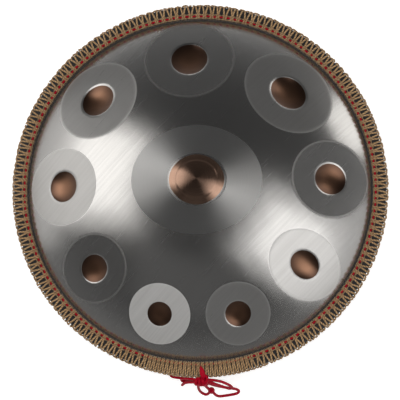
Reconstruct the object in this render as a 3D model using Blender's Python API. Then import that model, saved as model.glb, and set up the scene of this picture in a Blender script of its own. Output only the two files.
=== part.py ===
"""A handpan with a corded rim, as separate solids in one frame.

Two steel shells are bonded flange to flange. A rubber trim covers the flange's edge, an upper and a lower
net of cord cover the trim, and a drawcord in each net is tied into one bow at the rim's -Y side.
Units are metres, +Z up. The origin is the middle of the flat ring that the instrument stands on.
"""

import math

import bpy
import numpy as np
from mathutils import Vector
from mathutils.geometry import delaunay_2d_cdt

# Shells
RIM_RADIUS = 0.257  # where a dome meets its flange
DOME_RISE = 0.106  # height that the bare dome would have over its flange
DOME_FULLNESS = 0.80  # rim radius over the radius of the ellipsoid that the dome is part of
SHEET = 0.0012  # steel
FLANGE_WIDTH = 0.0178
BOND = 0.0004  # adhesive between the flanges
GAP = 0.0003  # clearance between touching pieces
FACETS = 48  # sides of every turned piece

# Tone fields on the top shell: direction from the centre in degrees, margin between the field and the
# dome's edge, half length along the radius and half width across it, all as seen from above
TONE_FIELDS = (
    (94.0, 0.0055, 0.0640, 0.0675),
    (45.5, 0.0090, 0.0580, 0.0700),
    (2.0, 0.0065, 0.0565, 0.0575),
    (-37.5, 0.0070, 0.0540, 0.0490),
    (-73.0, 0.0140, 0.0440, 0.0475),
    (-106.5, 0.0160, 0.0425, 0.0455),
    (-141.0, 0.0120, 0.0490, 0.0495),
    (180.5, 0.0065, 0.0515, 0.0570),
    (139.5, 0.0060, 0.0555, 0.0645),
)
FLATNESS = 0.9  # 1 makes a field flat across its width, 0 leaves the dome as it is
DIMPLE_SHARE = 0.43  # of its field's size
DIMPLE_DEPTH = 0.28  # of its own half width
DING_FIELD = (0.095, 0.080)  # half sizes along X and Y of the flat round the centre
DING_SIZE = (0.0413, 0.0377)  # half sizes of the raised centre
DING_RISE = 0.012
DING_STEP = 0.0008  # height of the small step on it
DING_STEP_SHARE = (0.70, 0.76)  # where the step starts and ends, of the ding's size

# Port in the bottom shell
STAND_RADIUS = 0.080  # outer edge of the flat ring that it stands on
PORT_RADIUS = 0.050
PORT_ROUND = 0.008
PORT_NECK = 0.018  # straight length above the rounding

# Rubber trim and nets
TRIM_WALL = 0.0022
TRIM_LIP = 0.0161  # how far the trim's lips reach in over the flange
TRIM_ROUND = 0.001
CORD = 0.0024  # thickness of the nets' cord
NET_REACH = 0.0221  # width of the nets, in from their outer edge
HEADING_WIDTH = 0.0073  # the two rows of knots and the drawcord between them
HEADING_HEIGHT = 0.0035
HEADING_STEP = 0.0004
NET_ROUND = 0.0013
GROOVE_FLOOR = 0.0005  # depth of cord left under the drawcord's groove
DRAWCORD = 0.0020
SEAM = 0.0003  # half of the gap where a trim's or a net's ends meet
TIE_SEAM = 0.0006

# Bow
BOW_CORD = 0.0034  # thickness of the cords that the bow is tied from
STRAP_THICKNESS = 0.0016
STRAP_WIDTHS = (0.0018, 0.0056, 0.0076, 0.0056, 0.0026)
KNOT_HALF = (0.0105, 0.0062, 0.0070)
KNOT_OFFSET = (0.0017, -0.0015)  # of the knot's middle along X, and over the rim's mid-plane
END_KNOT_RADIUS = 0.0047
CORD_STEP = 2.4  # diameters between the points of a cord

BOND_Z = BOND / 2 + GAP  # from the rim's mid-plane to a flange
FLANGE_Z = BOND_Z + SHEET  # to a flange's outer face
FLANGE_RADIUS = RIM_RADIUS + FLANGE_WIDTH


def dome_height(radius):
    """Height of the bare dome over its flange: an ellipsoid cut off where it meets the flange."""
    full = RIM_RADIUS / DOME_FULLNESS
    edge = math.sqrt(1 - DOME_FULLNESS**2)
    cap = np.sqrt(np.clip(1 - (np.asarray(radius) / full) ** 2, 0, 1))
    return DOME_RISE * (cap - edge) / (1 - edge)


def dome_normal(x, y):
    """Outward unit normals of the bare top dome above the points x, y."""
    full = RIM_RADIUS / DOME_FULLNESS
    edge = math.sqrt(1 - DOME_FULLNESS**2)
    cap = np.sqrt(np.clip(1 - (x * x + y * y) / full**2, 1e-6, 1))
    slope = DOME_RISE / (1 - edge) / (full**2 * cap)
    normal = np.stack([slope * x, slope * y, np.ones_like(x)], axis=-1)
    return normal / np.linalg.norm(normal, axis=-1, keepdims=True)


STAND_DEPTH = float(dome_height(STAND_RADIUS))
RIM_Z = STAND_DEPTH + FLANGE_Z  # height of the rim's mid-plane over the ground


class Field:
    """An elliptical tone field: it flattens the dome inside its edge and holds a dimple or the ding."""

    def __init__(self, angle, centre, half_length, half_width):
        self.along = np.array([math.cos(angle), math.sin(angle)])
        self.across = np.array([-math.sin(angle), math.cos(angle)])
        self.middle = self.along * centre
        self.half = (half_length, half_width)
        side = math.hypot(centre, half_width)
        self.flatten = FLATNESS * float(dome_height(centre) - dome_height(side))

    def share(self, x, y):
        """Distance from the field's middle, where 1 is its edge."""
        dx, dy = x - self.middle[0], y - self.middle[1]
        u = (dx * self.along[0] + dy * self.along[1]) / self.half[0]
        v = (dx * self.across[0] + dy * self.across[1]) / self.half[1]
        return np.hypot(u, v)

    def ring(self, share, count):
        turn = np.arange(count) * 2 * math.pi / count
        return (
            self.middle
            + np.outer(np.cos(turn) * self.half[0] * share, self.along)
            + np.outer(np.sin(turn) * self.half[1] * share, self.across)
        )


def tone_fields():
    fields = []
    for angle, margin, half_length, half_width in TONE_FIELDS:
        centre = RIM_RADIUS - margin - half_length
        fields.append(Field(math.radians(angle), centre, half_length, half_width))
    return fields


def ding_field():
    field = Field(0, 0, *DING_FIELD)
    field.flatten = FLATNESS * float(dome_height(0) - dome_height(sum(DING_FIELD) / 2))
    return field


def ding_height(share):
    """Height of the raised centre over its field: a cap with one small step."""
    start, end = DING_STEP_SHARE
    step = np.clip((end - share) / (end - start), 0, 1) * DING_STEP
    return np.where(share < 1, (DING_RISE - DING_STEP) * (1 - share**2) + step, 0)


def top_height(x, y, fields, ding):
    """Height of the top shell's outer face over its flange."""
    height = dome_height(np.hypot(x, y))
    lowest = np.zeros_like(height)
    for field in fields:
        share = field.share(x, y)
        bowl = DIMPLE_DEPTH * DIMPLE_SHARE * field.half[1]
        drop = field.flatten * np.clip(1 - share**2, 0, 1)
        drop = drop + bowl * np.clip(1 - (share / DIMPLE_SHARE) ** 2, 0, 1)
        lowest = np.maximum(lowest, drop)
    drop = ding.flatten * np.clip(1 - ding.share(x, y) ** 2, 0, 1)
    centre = np.hypot(x / DING_SIZE[0], y / DING_SIZE[1])
    return height - np.maximum(lowest, drop) + ding_height(centre)


def circle(radius, count):
    turn = np.arange(count) * 2 * math.pi / count
    return np.stack([radius * np.cos(turn), radius * np.sin(turn)], axis=-1)


def material(name, colour, roughness, metallic=0.0):
    made = bpy.data.materials.new(name)
    made.use_nodes = True
    shader = made.node_tree.nodes["Principled BSDF"]
    shader.inputs["Base Color"].default_value = (*colour, 1)
    shader.inputs["Roughness"].default_value = roughness
    shader.inputs["Metallic"].default_value = metallic
    return made


def add_mesh(name, points, faces, finish):
    """Adds a closed mesh as an object of its own, with its faces turned outward."""
    mesh = bpy.data.meshes.new(name)
    mesh.from_pydata([tuple(map(float, p)) for p in points], [], faces)
    mesh.validate()
    if signed_volume(mesh) < 0:
        mesh.flip_normals()
    mesh.shade_smooth()
    mesh.set_sharp_from_angle(angle=math.radians(35))
    mesh.materials.append(finish)
    obj = bpy.data.objects.new(name, mesh)
    bpy.context.collection.objects.link(obj)
    return obj


def signed_volume(mesh):
    mesh.calc_loop_triangles()
    corners = [[mesh.vertices[i].co for i in triangle.vertices] for triangle in mesh.loop_triangles]
    return sum(a.dot(b.cross(c)) for a, b, c in corners) / 6


def band(first, second, count):
    """Quads between two rings of the same number of points, given by their first indices."""
    return [(first + i, first + (i + 1) % count, second + (i + 1) % count, second + i) for i in range(count)]


def shell_plan(fields, ding):
    """Points of the top dome as seen from above, and the edges that its surface has to follow."""
    points, edges = [], []

    def add_ring(ring, closed=True):
        start = len(points)
        points.extend(map(tuple, ring))
        if closed:
            edges.extend((start + i, start + (i + 1) % len(ring)) for i in range(len(ring)))

    add_ring(circle(RIM_RADIUS, FACETS))
    for field in fields:
        add_ring([field.middle], closed=False)
        for share, count in ((0.22, 8), (DIMPLE_SHARE, 14), (0.72, 16), (1.0, 20)):
            add_ring(field.ring(share, count))
    centre = Field(0, 0, *DING_SIZE)
    add_ring([(0.0, 0.0)], closed=False)
    for share, count in ((0.36, 8), (DING_STEP_SHARE[0], 16), (DING_STEP_SHARE[1], 16), (1.0, 20)):
        add_ring(centre.ring(share, count))
    for share, count in ((0.72, 20), (1.0, 26)):
        add_ring(ding.ring(share, count))

    # Filler points keep to the bare dome between the fields
    spacing, clear = 0.016, 0.006
    steps = int((RIM_RADIUS - DING_FIELD[1]) / spacing)
    for step in range(1, steps + 1):
        radius = RIM_RADIUS - 0.006 - (step - 1) * spacing
        ring = circle(radius, max(12, int(2 * math.pi * radius / spacing)))
        x, y = ring[:, 0], ring[:, 1]
        free = np.ones(len(ring), dtype=bool)
        for field in [*fields, ding]:
            free &= field.share(x, y) > 1 + clear / min(field.half)
        add_ring(ring[free], closed=False)
    return points, edges


def top_shell(finish):
    """The note shell: one sheet with its ding, nine dimpled tone fields and a flat flange."""
    fields, ding = tone_fields(), ding_field()
    points, edges = shell_plan(fields, ding)
    found = delaunay_2d_cdt([Vector(p) for p in points], edges, [], 0, 1e-6)
    plan = np.array([tuple(p) for p in found[0]])
    triangles = [tuple(face) for face in found[2]]
    x, y = plan[:, 0], plan[:, 1]
    base = RIM_Z + FLANGE_Z
    outer = np.stack([x, y, base + top_height(x, y, fields, ding)], axis=-1)
    inner = outer - SHEET * dome_normal(x, y)

    # The rim's points bend into the flange, so the inner face has its corner on the bisector
    on_rim = np.hypot(x, y) > RIM_RADIUS - 1e-5
    up = np.array([0, 0, 1.0])
    slope = dome_normal(x[on_rim], y[on_rim])
    outer[on_rim, 2] = base
    inner[on_rim] = outer[on_rim] - SHEET * (slope + up) / (1 + slope[:, 2:3])

    order = np.argsort(np.arctan2(y[on_rim], x[on_rim]))
    rim = np.flatnonzero(on_rim)[order]
    count, total = len(rim), len(plan)
    edge = outer[rim] * np.array([1, 1, 0]) * (FLANGE_RADIUS / RIM_RADIUS)
    edge_top = edge + up * base
    edge_under = edge + up * (base - SHEET)
    vertices = np.concatenate([outer, inner, edge_top, edge_under])

    faces = []
    for a, b, c in triangles:
        faces.append((a, b, c))
        faces.append((total + c, total + b, total + a))
    for i in range(count):
        j = (i + 1) % count
        top, under = 2 * total, 2 * total + count
        faces.append((rim[i], top + i, top + j, rim[j]))
        faces.append((top + i, under + i, under + j, top + j))
        faces.append((under + i, total + rim[i], total + rim[j], under + j))
    faces = [tuple(int(k) for k in face) for face in faces]
    return add_mesh("top_shell", vertices, faces, finish)


def offset_line(line, distance):
    """The line moved to its left by the distance, with its corners on their bisectors."""
    line = np.asarray(line, dtype=float)
    run = np.diff(line, axis=0)
    run /= np.linalg.norm(run, axis=1, keepdims=True)
    left = np.stack([-run[:, 1], run[:, 0]], axis=-1)
    before = np.concatenate([left[:1], left])
    after = np.concatenate([left, left[-1:]])
    dot = np.sum(before * after, axis=1, keepdims=True)
    return line + distance * (before + after) / (1 + dot)


def turned(name, profile, finish, seam=0.0):
    """Turns a closed outline of radius and height round Z. A seam leaves it open at -Y by twice its length."""
    profile = np.asarray(profile, dtype=float)
    turn = -math.pi / 2 + np.arange(FACETS + 1) * 2 * math.pi / FACETS
    if seam:
        half = seam / profile[:, 0].max()
        turn[0] += half
        turn[-1] -= half
    else:
        turn = turn[:-1]
    radius, height = profile[:, 0], profile[:, 1]
    rings = np.stack(
        [np.outer(np.cos(turn), radius), np.outer(np.sin(turn), radius), np.tile(height, (len(turn), 1))], axis=-1
    )
    size = len(profile)
    stations = len(turn) - 1 if seam else len(turn)
    faces = []
    for i in range(stations):
        faces.extend(band(i * size, (i + 1) % len(turn) * size, size))
    if seam:
        last = (len(turn) - 1) * size
        faces.append(tuple(range(size - 1, -1, -1)))
        faces.append(tuple(range(last, last + size)))
    return add_mesh(name, rings.reshape(-1, 3), faces, finish)


def arc(centre, radius, start, end, steps):
    turn = np.radians(np.linspace(start, end, steps + 1))
    return [(centre[0] + radius * math.cos(t), centre[1] + radius * math.sin(t)) for t in turn]


def bottom_shell(finish):
    """The lower shell: a dome with a flat ring to stand on and a port whose neck turns inward."""
    radii = np.linspace(RIM_RADIUS, STAND_RADIUS, 11)
    radii[1] = RIM_RADIUS - 0.006
    dome = [(r, STAND_DEPTH - float(dome_height(r))) for r in radii]
    rounding = arc((PORT_RADIUS + PORT_ROUND, PORT_ROUND), PORT_ROUND, 270, 180, 3)
    neck_top = (PORT_RADIUS, PORT_ROUND + PORT_NECK)
    outside = [(FLANGE_RADIUS, STAND_DEPTH), *dome, *rounding, neck_top]
    inside = offset_line(outside, -SHEET)
    return turned("bottom_shell", [*outside, *inside[::-1]], finish)


def flange_bond(finish):
    """The ring of adhesive between the two flanges."""
    inner, outer = RIM_RADIUS + 0.002, FLANGE_RADIUS - 0.001
    low, high = RIM_Z - BOND / 2, RIM_Z + BOND / 2
    return turned("flange_bond", [(inner, low), (outer, low), (outer, high), (inner, high)], finish)


def trim_size():
    """Outer radius of the trim, and the height of its outer face over the mid-plane."""
    return FLANGE_RADIUS + GAP + TRIM_WALL, FLANGE_Z + GAP + TRIM_WALL


def edge_trim(finish):
    """Rubber channel pushed over both flanges, with its ends meeting at the bow."""
    outer, top = trim_size()
    lip = FLANGE_RADIUS - TRIM_LIP
    groove, slot = outer - TRIM_WALL, top - TRIM_WALL
    half = [(lip, slot), (lip, top), (outer - TRIM_ROUND, top), (outer, top - TRIM_ROUND)]
    outline = half + [(r, -z) for r, z in half[::-1]] + [(groove, -slot), (groove, slot)]
    outline = [(r, RIM_Z + z) for r, z in outline]
    return turned("edge_trim", outline, finish, seam=SEAM)


def net_size():
    """Outer radius of the nets, and the height of their floor over the mid-plane."""
    outer, top = trim_size()
    return outer + GAP + CORD, top + GAP


def drawcord_place():
    """Radius of a drawcord's middle, and its height over the mid-plane."""
    outer, floor = net_size()
    row = (HEADING_WIDTH - DRAWCORD - 2 * GAP) / 2
    return outer - NET_REACH + row + GAP + DRAWCORD / 2, floor + GROOVE_FLOOR + GAP + DRAWCORD / 2


def rope_net(name, side, finish):
    """One net: a heading with a groove for its drawcord, legs over the trim, and half of the rim's wall."""
    outer, floor = net_size()
    start = outer - NET_REACH
    middle, _ = drawcord_place()
    groove = DRAWCORD / 2 + GAP
    wall, back = outer - CORD, floor + CORD
    outline = [
        (start, floor),
        (wall, floor),
        (wall, GAP / 2),
        (outer, GAP / 2),
        (outer, back - NET_ROUND),
        (outer - NET_ROUND, back),
        (start + HEADING_WIDTH, back),
        (start + HEADING_WIDTH - HEADING_STEP, floor + HEADING_HEIGHT),
        (middle + groove, floor + HEADING_HEIGHT),
        (middle + groove, floor + GROOVE_FLOOR),
        (middle - groove, floor + GROOVE_FLOOR),
        (middle - groove, floor + HEADING_HEIGHT),
        (start, floor + HEADING_HEIGHT),
    ]
    outline = [(r, RIM_Z + side * z) for r, z in outline]
    return turned(name, outline, finish, seam=TIE_SEAM)


def drawcord(name, side, finish):
    """A round cord in its net's groove, with both ends at the tie."""
    radius, height = drawcord_place()
    outline = arc((radius, RIM_Z + side * height), DRAWCORD / 2, 0, 360, 8)[:-1]
    return turned(name, outline, finish, seam=TIE_SEAM)


def smooth_route(points, step):
    """Points a step apart on a smooth curve through the route's own points."""
    points = [Vector(p) for p in points]
    ends = [2 * points[0] - points[1], *points, 2 * points[-1] - points[-2]]
    fine = []
    for p0, p1, p2, p3 in zip(ends, ends[1:], ends[2:], ends[3:]):
        for i in range(12):
            t = i / 12
            bend = (2 * p0 - 5 * p1 + 4 * p2 - p3) * t * t + (3 * p1 - p0 - 3 * p2 + p3) * t**3
            fine.append(0.5 * (2 * p1 + (p2 - p0) * t + bend))
    fine.append(points[-1])
    run = [0.0]
    for a, b in zip(fine, fine[1:]):
        run.append(run[-1] + (b - a).length)
    count = max(3, round(run[-1] / step))
    wanted = [run[-1] * i / count for i in range(count + 1)]
    columns = [np.interp(wanted, run, [p[axis] for p in fine]) for axis in range(3)]
    return [Vector(p) for p in zip(*columns)]


def cord(name, route, diameter, finish):
    """A free cord: one smooth line with a round section and closed ends."""
    curve = bpy.data.curves.new(name, "CURVE")
    curve.dimensions = "3D"
    curve.bevel_depth = diameter / 2
    curve.bevel_resolution = 2
    curve.use_fill_caps = True
    line = smooth_route(route, CORD_STEP * diameter)
    spline = curve.splines.new("POLY")
    spline.points.add(len(line) - 1)
    for point, place in zip(spline.points, line):
        point.co = (*place, 1)
    curve.materials.append(finish)
    obj = bpy.data.objects.new(name, curve)
    bpy.context.collection.objects.link(obj)
    return obj


def knot_place():
    """Middle of the bow's knot, which hangs against the nets' outer wall."""
    outer, _ = net_size()
    offset_x, offset_z = KNOT_OFFSET
    return Vector((offset_x, -(outer + GAP + KNOT_HALF[1]), RIM_Z + offset_z))


def lump(name, middle, half, finish):
    """A closed round lump of the given half sizes, standing for a tied knot."""
    rows, count = 6, 12
    vertices = [middle + Vector((0, 0, -half[2]))]
    for row in range(1, rows):
        lift = -math.pi / 2 + row * math.pi / rows
        for i in range(count):
            turn = i * 2 * math.pi / count
            flat = math.cos(lift)
            out = Vector((half[0] * flat * math.cos(turn), half[1] * flat * math.sin(turn), half[2] * math.sin(lift)))
            vertices.append(middle + out)
    vertices.append(middle + Vector((0, 0, half[2])))
    faces = [(0, 1 + (i + 1) % count, 1 + i) for i in range(count)]
    for row in range(rows - 2):
        faces.extend(band(1 + row * count, 1 + (row + 1) * count, count))
    last = 1 + (rows - 2) * count
    faces.extend((last + i, last + (i + 1) % count, len(vertices) - 1) for i in range(count))
    return add_mesh(name, vertices, faces, finish)


def tie_strap(name, side, drift, finish):
    """The drawcord's two ends, folded flat into a leaf that crosses the net from its groove to the bow."""
    outer, floor = net_size()
    start, _ = drawcord_place()
    over = floor + HEADING_HEIGHT + GAP + STRAP_THICKNESS / 2
    knot = knot_place()
    route = [
        (0.0022, start + 0.0036, over + 0.0001),
        (0.0034, start + 0.0082, over + 0.0003),
        (0.0045, start + 0.0135, over + 0.0002),
        (0.0057, outer + 0.0004, over - 0.0008),
        (0.0063, outer + 0.0031, over - 0.0040),
    ]
    centres = [Vector((drift * x, -r, RIM_Z + side * z)) for x, r, z in route]
    if side < 0:
        centres[-1].z = min(centres[-1].z, knot.z - KNOT_HALF[2] + 0.0002)
    vertices = []
    for i, centre in enumerate(centres):
        run = (centres[min(i + 1, len(centres) - 1)] - centres[max(i - 1, 0)]).normalized()
        across = run.cross(Vector((0, 0, 1))).normalized()
        thick = across.cross(run).normalized()
        for k in range(8):
            turn = (k + 0.5) * math.pi / 4
            wide = math.cos(turn) * STRAP_WIDTHS[i] / 2
            vertices.append(centre + across * wide + thick * math.sin(turn) * STRAP_THICKNESS / 2)
    faces = []
    for i in range(len(centres) - 1):
        faces.extend(band(8 * i, 8 * (i + 1), 8))
    faces.append(tuple(range(7, -1, -1)))
    faces.append(tuple(range(8 * len(centres) - 8, 8 * len(centres))))
    return add_mesh(name, vertices, faces, finish)


# Routes of the bow's cords in millimetres from the knot's middle
BOW_ROUTES = {
    "bow_loop_upper": (
        (11.6, 2.4, 3.7), (21.2, 1.6, 1.2), (30.3, 0.0, -5.2), (37.7, -2.7, -12.3), (43.1, -5.4, -18.8),
        (45.0, -7.8, -24.2), (41.4, -9.0, -26.2), (35.2, -7.6, -21.6), (26.6, -5.1, -13.0), (18.9, -2.6, -4.4),
        (11.2, -0.4, 0.1),
    ),
    "bow_loop_large": (
        (11.1, -2.3, -4.3), (18.8, -4.6, -10.0), (31.3, -6.9, -23.2), (43.9, -8.2, -35.4), (51.6, -9.4, -42.8),
        (54.9, -12.2, -47.0), (51.2, -15.4, -48.4), (40.3, -17.8, -45.5), (27.6, -19.8, -39.0), (21.7, -18.8, -32.5),
        (17.8, -15.3, -26.6),
    ),
    "bow_lead": ((4.9, -3.9, -5.9), (6.6, -6.0, -10.0), (8.9, -8.2, -15.5), (11.3, -10.1, -19.5)),
    "bow_loop_small": (
        (-4.1, -4.2, -6.3), (-4.3, -8.3, -14.5), (-2.5, -12.5, -22.5), (1.8, -16.1, -28.5), (7.2, -17.5, -30.2),
        (11.3, -15.1, -27.3),
    ),
    "bow_loop_left": (
        (-11.7, 3.4, -4.2), (-19.2, 4.4, -7.2), (-25.6, 5.4, -10.8), (-29.2, 4.6, -14.6), (-28.9, 2.4, -18.0),
        (-25.6, 1.6, -19.4), (-21.4, 1.6, -17.6), (-16.6, 1.2, -13.2), (-12.0, 0.8, -9.2), (-8.4, 0.4, -6.9),
    ),
    "tie_strand": (
        (-11.3, 3.6, 0.1), (-19.7, 4.6, -2.0), (-29.1, 5.4, -4.5), (-37.4, 6.6, -6.7), (-42.9, 8.0, -8.2),
        (-45.9, 11.0, -8.8), (-46.8, 14.4, -8.6),
    ),
    "tail": (
        (-11.3, -0.7, -4.2), (-17.1, -0.5, -8.6), (-22.4, -0.8, -13.8), (-25.9, -1.9, -18.5), (-28.9, -3.7, -24.5),
    ),
}
END_KNOT_PLACE = (14.6, -12.0, -23.5)  # millimetres from the knot's middle


def bow(finish):
    """The knot at the rim, its loops and tail, and the small knot that the large loop runs through."""
    middle = knot_place()
    lump("bow_knot", middle, KNOT_HALF, finish)
    for name, route in BOW_ROUTES.items():
        cord(name, [middle + Vector(p) / 1000 for p in route], BOW_CORD, finish)
    lump("end_knot", middle + Vector(END_KNOT_PLACE) / 1000, (END_KNOT_RADIUS,) * 3, finish)


def build():
    for old in list(bpy.data.objects):
        bpy.data.objects.remove(old, do_unlink=True)
    steel = (0.42, 0.41, 0.40)
    rope = (0.42, 0.30, 0.19)
    red = (0.45, 0.01, 0.03)
    top_shell(material("top_steel", steel, 0.32, 1.0))
    bottom_shell(material("bottom_steel", steel, 0.38, 1.0))
    flange_bond(material("adhesive", (0.55, 0.50, 0.38), 0.5))
    edge_trim(material("black_rubber", (0.02, 0.02, 0.02), 0.7))
    rope_net("upper_net", 1, material("upper_cord", rope, 0.85))
    rope_net("lower_net", -1, material("lower_cord", rope, 0.85))
    drawcord("upper_drawcord", 1, material("upper_satin", red, 0.4))
    drawcord("lower_drawcord", -1, material("lower_satin", red, 0.4))
    tie_strap("upper_tie_strap", 1, 1.0, material("upper_strap_satin", red, 0.4))
    tie_strap("lower_tie_strap", -1, -0.7, material("lower_strap_satin", red, 0.4))
    bow(material("bow_satin", red, 0.4))


build()
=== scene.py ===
import math

import bpy
import numpy as np
from mathutils import Matrix, Vector


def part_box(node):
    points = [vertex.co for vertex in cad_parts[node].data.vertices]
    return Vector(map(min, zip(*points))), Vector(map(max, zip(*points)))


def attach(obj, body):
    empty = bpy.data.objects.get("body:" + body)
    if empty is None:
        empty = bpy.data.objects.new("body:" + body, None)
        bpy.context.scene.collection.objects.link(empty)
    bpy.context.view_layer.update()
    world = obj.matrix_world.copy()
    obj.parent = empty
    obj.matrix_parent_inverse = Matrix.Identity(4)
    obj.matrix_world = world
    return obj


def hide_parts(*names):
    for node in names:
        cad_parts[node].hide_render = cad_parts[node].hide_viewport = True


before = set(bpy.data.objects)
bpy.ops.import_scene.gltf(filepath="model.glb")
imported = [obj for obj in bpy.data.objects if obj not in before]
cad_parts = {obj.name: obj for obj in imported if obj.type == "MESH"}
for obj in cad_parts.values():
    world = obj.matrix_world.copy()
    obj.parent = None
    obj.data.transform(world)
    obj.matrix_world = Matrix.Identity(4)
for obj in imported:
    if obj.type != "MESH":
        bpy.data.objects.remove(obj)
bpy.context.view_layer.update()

# where the two shells meet, half way between the nets
rimHeight = (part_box("upper_net")[0].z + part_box("lower_net")[1].z) / 2
flangeFace = 0.0017  # outer face of a flange over the rim's middle plane
mm = 0.001


# camera and light

cameraLook = {
    "place": (0.1416, -0.4506, rimHeight + 3.1673),
    "aim": (0.0005, -0.0165, rimHeight),
    "lens": 193.2,
}


def addCamera(look):
    data = bpy.data.cameras.new("camera")
    data.lens, data.sensor_width = look["lens"], 36
    data.clip_start, data.clip_end = 0.1, 50
    camera = bpy.data.objects.new("camera", data)
    bpy.context.collection.objects.link(camera)
    place, aim = Vector(look["place"]), Vector(look["aim"])
    back = (place - aim).normalized()
    up = Vector((0, 1, 0))
    up = (up - back * up.dot(back)).normalized()
    turn = Matrix((up.cross(back), up, back)).transposed().to_4x4()
    camera.matrix_world = Matrix.Translation(place) @ turn
    bpy.context.scene.camera = camera


lightLook = {
    # name: (direction and height over the horizon in degrees, distance, width, height, brightness, colour,
    # seen in the steel or not)
    "leftPanel": (165, 37, 2.2, 2.0, 2.15, 0.75, (1.0, 0.985, 0.965), True),
    "leftCore": (163, 38, 2.1, 1.35, 1.4, 1.1, (1.0, 0.985, 0.965), True),
    "leftLow": (168, 3, 2.2, 2.1, 0.8, 0.50, (1.0, 0.985, 0.965), True),
    "rightPanel": (-25, 40, 2.2, 1.7, 2.25, 0.75, (1.0, 0.99, 0.98), True),
    "rightCore": (-26, 40, 2.1, 0.95, 1.4, 1.05, (1.0, 0.99, 0.98), True),
    "rightLow": (-18, 4, 2.2, 1.7, 0.8, 0.50, (1.0, 0.99, 0.98), True),
    "frontPanel": (-105, 45, 2.2, 1.7, 1.2, 0.07, (1.0, 1.0, 1.0), True),
    "lowStrip": (29, 0.5, 1.2, 0.45, 0.5, 1.4, (1.0, 0.98, 0.95), True),
    "topPanel": (90, 90, 2.0, 2.0, 2.0, 2.6, (1.0, 1.0, 1.0), False),
}
# brightness of the room by the height over the horizon, as its sine
worldLook = {"room": ((0.0, 0.20), (0.17, 0.13), (0.5, 0.065), (1.0, 0.04)), "backdrop": 1.05}
floorLook = {"radius": 0.72, "middle": (0.0, 0.0), "glow": 0.50}


def addPanel(name, turn, tilt, distance, width, height, brightness, colour, glossy):
    data = bpy.data.lights.new(name, "AREA")
    data.shape, data.size, data.size_y = "RECTANGLE", width, height
    data.energy = brightness * math.pi * width * height
    data.color = colour
    light = bpy.data.objects.new(name, data)
    light.visible_camera, light.visible_glossy = False, glossy
    bpy.context.collection.objects.link(light)
    a, e = math.radians(turn), math.radians(tilt)
    away = Vector((math.cos(a) * math.cos(e), math.sin(a) * math.cos(e), math.sin(e)))
    light.rotation_mode = "QUATERNION"
    light.rotation_quaternion = away.to_track_quat("Z", "Y")
    light.location = Vector((0, 0, rimHeight)) + away * distance


# shader sums


class Wire:
    # an output socket; sums, products and comparisons of it add Math nodes
    def __init__(self, paint, socket):
        self.paint, self.socket = paint, socket

    def sum(self, kind, *values):
        return self.paint.node("Math", {"operation": kind}, *values)

    def __add__(self, other):
        return self.sum("ADD", self, other)

    def __sub__(self, other):
        return self.sum("SUBTRACT", self, other)

    def __rsub__(self, other):
        return self.sum("SUBTRACT", other, self)

    def __mul__(self, other):
        return self.sum("MULTIPLY", self, other)

    def __truediv__(self, other):
        return self.sum("DIVIDE", self, other)

    def __pow__(self, other):
        return self.sum("POWER", self, other)

    __radd__, __rmul__ = __add__, __mul__

    def fade(self, start, end):
        # 0 at start and 1 at end, smooth between them
        settings = {"interpolation_type": "SMOOTHSTEP"}
        return self.paint.node("MapRange", settings, self, start, end, 0, 1)


class Paint:
    # a material and its node tree
    def __init__(self, name):
        self.material = bpy.data.materials.new(name)
        self.material.use_nodes = True
        self.tree = self.material.node_tree
        self.shader = self.tree.nodes["Principled BSDF"]

    def node(self, kind, settings=None, *values, out=0, **named):
        # settings first, then the sockets in order, then the sockets by name
        made = self.tree.nodes.new("ShaderNode" + kind)
        for key, value in (settings or {}).items():
            setattr(made, key, value)
        for socket, value in zip(made.inputs, values):
            self.join(socket, value)
        for key, value in named.items():
            self.join(made.inputs[key.replace("_", " ")], value)
        return Wire(self, made.outputs[out])

    def join(self, socket, value):
        if isinstance(value, Wire):
            self.tree.links.new(value.socket, socket)
        elif value is not None:
            if socket.type == "RGBA" and len(value) == 3:
                value = (*value, 1)
            socket.default_value = value

    def place(self, scale=(1, 1, 1), turn=(0, 0, 0)):
        # the piece's own coordinates in metres, turned and then measured in steps of the given size
        made = self.node("TexCoord", out="Object")
        return self.node("Mapping", {"vector_type": "TEXTURE"}, made, Scale=scale, Rotation=turn)

    def noise(self, where, scale, detail=2.0, roughness=0.5):
        return self.node(
            "TexNoise", {}, Vector=where, Scale=scale, Detail=detail, Roughness=roughness, out="Fac",
        )

    def mix(self, share, first, second):
        # Mix node on colours: its colour sockets are the last two called A and B
        made = self.tree.nodes.new("ShaderNodeMix")
        made.data_type = "RGBA"
        self.join(made.inputs[0], share)
        self.join(made.inputs[6], first)
        self.join(made.inputs[7], second)
        return Wire(self, made.outputs[2])

    def value(self, name):
        # a number kept on the piece's points
        return self.node("Attribute", {"attribute_name": name}, out="Fac")

    def bump(self, height, depth, strength=1.0):
        made = self.node("Bump", {}, Height=height, Distance=depth, Strength=strength)
        self.join(self.shader.inputs["Normal"], made)

    def set(self, **named):
        for key, value in named.items():
            self.join(self.shader.inputs[key.replace("_", " ")], value)
        return self.material


# meshes


def addMesh(name, points, faces, material, values=None, uv=None):
    # values: numbers kept on the points; uv: distance along a cord in metres, and share of the way round it
    mesh = bpy.data.meshes.new(name)
    mesh.from_pydata(points.reshape(-1, 3).tolist(), [], faces)
    mesh.polygons.foreach_set("use_smooth", [True] * len(mesh.polygons))
    for key, data in (values or {}).items():
        layer = mesh.attributes.new(key, "FLOAT", "POINT")
        layer.data.foreach_set("value", np.asarray(data, np.float32).ravel())
    if uv is not None:
        corner = np.empty(len(mesh.loops), np.int32)
        mesh.loops.foreach_get("vertex_index", corner)
        layer = mesh.uv_layers.new(name="along")
        layer.data.foreach_set("uv", uv.reshape(-1, 2)[corner].astype(np.float32).ravel())
    mesh.materials.append(material)
    obj = bpy.data.objects.new(name, mesh)
    bpy.context.collection.objects.link(obj)
    return obj


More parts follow.
